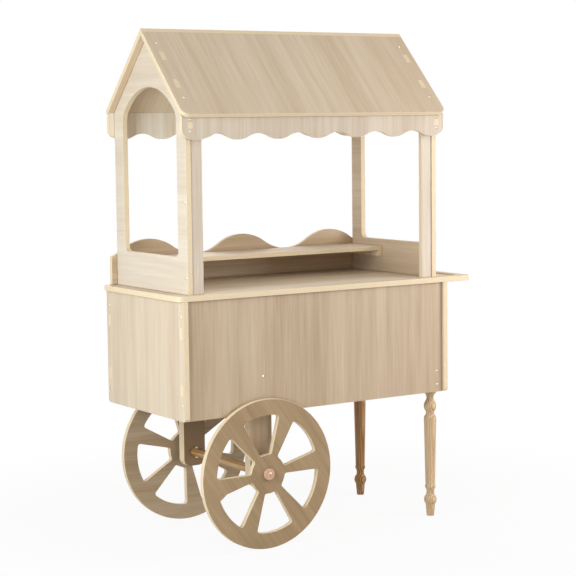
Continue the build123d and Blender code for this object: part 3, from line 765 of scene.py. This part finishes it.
head = node(screw_tree, "GeometryNodeTransform", {
    "Geometry": domed, "Translation": node(screw_tree, "ShaderNodeCombineXYZ", {"Z": sunk}),
})
print("head nodes", len(screw_tree.nodes))

# %% [markdown]
# ### Cross and shank
# A driver's cross is two crossed bars cut out of the dome, each with a Mesh Boolean. The thread is
# hidden in the wood, so the shank is a plain rod. It is one metre long, so that its scale along the
# axis is simply the length that each screw needs.

# %% Cross and shank
arm_width = 0.24  # of the cross, as a share of its span
arm_depth = 0.36
rod_length = 1.0

span = given["Cross"]
narrow = node(screw_tree, "ShaderNodeMath", {"Value": span, "Value_001": arm_width},
              operation="MULTIPLY")
deep = node(screw_tree, "ShaderNodeMath", {"Value": span, "Value_001": 2 * arm_depth},
            operation="MULTIPLY")
for size in ({"X": span, "Y": narrow, "Z": deep}, {"X": narrow, "Y": span, "Z": deep}):
    bar = node(screw_tree, "GeometryNodeMeshCube", {
        "Size": node(screw_tree, "ShaderNodeCombineXYZ", size),
    })
    raised = node(screw_tree, "GeometryNodeTransform", {
        "Geometry": bar.outputs["Mesh"],
        "Translation": node(screw_tree, "ShaderNodeCombineXYZ", {"Z": given["Dome"]}),
    })
    head = node(screw_tree, "GeometryNodeMeshBoolean", {"Mesh 1": head, "Mesh 2": raised},
                operation="DIFFERENCE")

rod = node(screw_tree, "GeometryNodeMeshCylinder", {
    "Vertices": rim_points // 2, "Radius": shank_radius, "Depth": rod_length,
})
shank = node(screw_tree, "GeometryNodeTransform", {
    "Geometry": rod.outputs["Mesh"], "Translation": (0, 0, -rod_length / 2),
})
print("head and shank nodes", len(screw_tree.nodes))

# %% [markdown]
# ### On every seat
# Each seat is a point that carries two attributes, its outward axis and the length of its screw. The
# tree turns head and shank to that axis and turns each cross by a random angle, as screws come to
# rest. Instances are light to edit, but an exported model drops them, so the tree ends by making
# them real and giving them their finish.

# %% On every seat
length = node(screw_tree, "GeometryNodeInputNamedAttribute", {"Name": "length"}, data_type="FLOAT")
axis = node(screw_tree, "GeometryNodeInputNamedAttribute", {"Name": "axis"},
            data_type="FLOAT_VECTOR")
outward = node(screw_tree, "FunctionNodeAlignRotationToVector", {"Vector": axis}, axis="Z")
angle = node(screw_tree, "FunctionNodeRandomValue", {
    "Min_001": 0.0, "Max_001": math.pi, "Seed": given["Seed"],
}, data_type="FLOAT")
spin = node(screw_tree, "FunctionNodeAxisAngleToRotation", {"Axis": (0, 0, 1), "Angle": angle})
turn = node(screw_tree, "FunctionNodeRotateRotation", {"Rotation": outward, "Rotate By": spin},
            rotation_space="LOCAL")
under = node(screw_tree, "ShaderNodeVectorMath", {"Vector": axis, "Scale": sunk},
             operation="SCALE")
lowered = node(screw_tree, "GeometryNodeSetPosition", {
    "Geometry": given["Geometry"], "Offset": under,
})
shank_length = node(screw_tree, "ShaderNodeMath", {
    "Value": length, "Value_001": given["Countersink"],
}, operation="SUBTRACT")
stretch = node(screw_tree, "ShaderNodeCombineXYZ", {"X": 1.0, "Y": 1.0, "Z": shank_length})
heads = node(screw_tree, "GeometryNodeInstanceOnPoints", {
    "Points": given["Geometry"], "Instance": head, "Rotation": turn,
})
shanks = node(screw_tree, "GeometryNodeInstanceOnPoints", {
    "Points": lowered, "Instance": shank, "Rotation": turn, "Scale": stretch,
})
both = node(screw_tree, "GeometryNodeJoinGeometry", {"Geometry": (heads, shanks)})
real = node(screw_tree, "GeometryNodeRealizeInstances", {"Geometry": both})
plated = node(screw_tree, "GeometryNodeSetMaterial", {
    "Geometry": real, "Material": given["Material"],
})
node(screw_tree, "NodeGroupOutput", {"Geometry": plated})
print("screw tree nodes", len(screw_tree.nodes))

# %% [markdown]
# ## Driving the screws
# The tree runs twice, for the countersunk wood screws and for the round heads on the hub caps. The
# result becomes a plain mesh and takes the place of the construction model's screws. All of them
# ride on the cart, the cap screws too, because the hub caps are fixed to the axle.

# %% Screws
screw_shapes = {
    # kind: dome, countersink, span of the cross, finish and its slot
    "wood_screws": (2.3 * MM, 3.0 * MM, 3.4 * MM, zinc, "zinc_steel"),
    "cap_screws": (2.5 * MM, 0.2 * MM, 7.0 * MM, bronze, "bronzed_steel"),
}
screw_seed = 5
sharp_from = math.radians(32)
inputs = {item.name: item.identifier for item in screw_tree.interface.items_tree
          if item.in_out == "INPUT"}

for kind, (dome, countersink, cross, finish, slot) in screw_shapes.items():
    places, outward_axes, lengths, head_widths, shank_widths = zip(*screws[kind])
    seats = bpy.data.meshes.new(kind + "_seats")
    seats.from_pydata([tuple(place) for place in places], [], [])
    axis_data = seats.attributes.new("axis", "FLOAT_VECTOR", "POINT").data
    axis_data.foreach_set("vector", np.ravel(outward_axes))
    seats.attributes.new("length", "FLOAT", "POINT").data.foreach_set("value", lengths)
    piece = bpy.data.objects.new(kind, seats)
    bpy.context.scene.collection.objects.link(piece)
    modifier = piece.modifiers.new("screws", "NODES")
    modifier.node_group = screw_tree
    for name, value in {
        "Head": head_widths[0], "Dome": dome, "Countersink": countersink,
        "Shank": shank_widths[0], "Cross": cross, "Seed": screw_seed, "Material": finish,
    }.items():
        modifier[inputs[name]] = value
    made = piece.evaluated_get(bpy.context.evaluated_depsgraph_get())
    mesh = bpy.data.meshes.new_from_object(made)
    piece.modifiers.clear()
    piece.data = mesh
    mesh.shade_smooth()
    mesh.set_sharp_from_angle(angle=sharp_from)
    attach(piece, "cart")
    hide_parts(*screw_groups[kind])
    print(kind, len(places), "screws,", len(mesh.polygons), "faces")
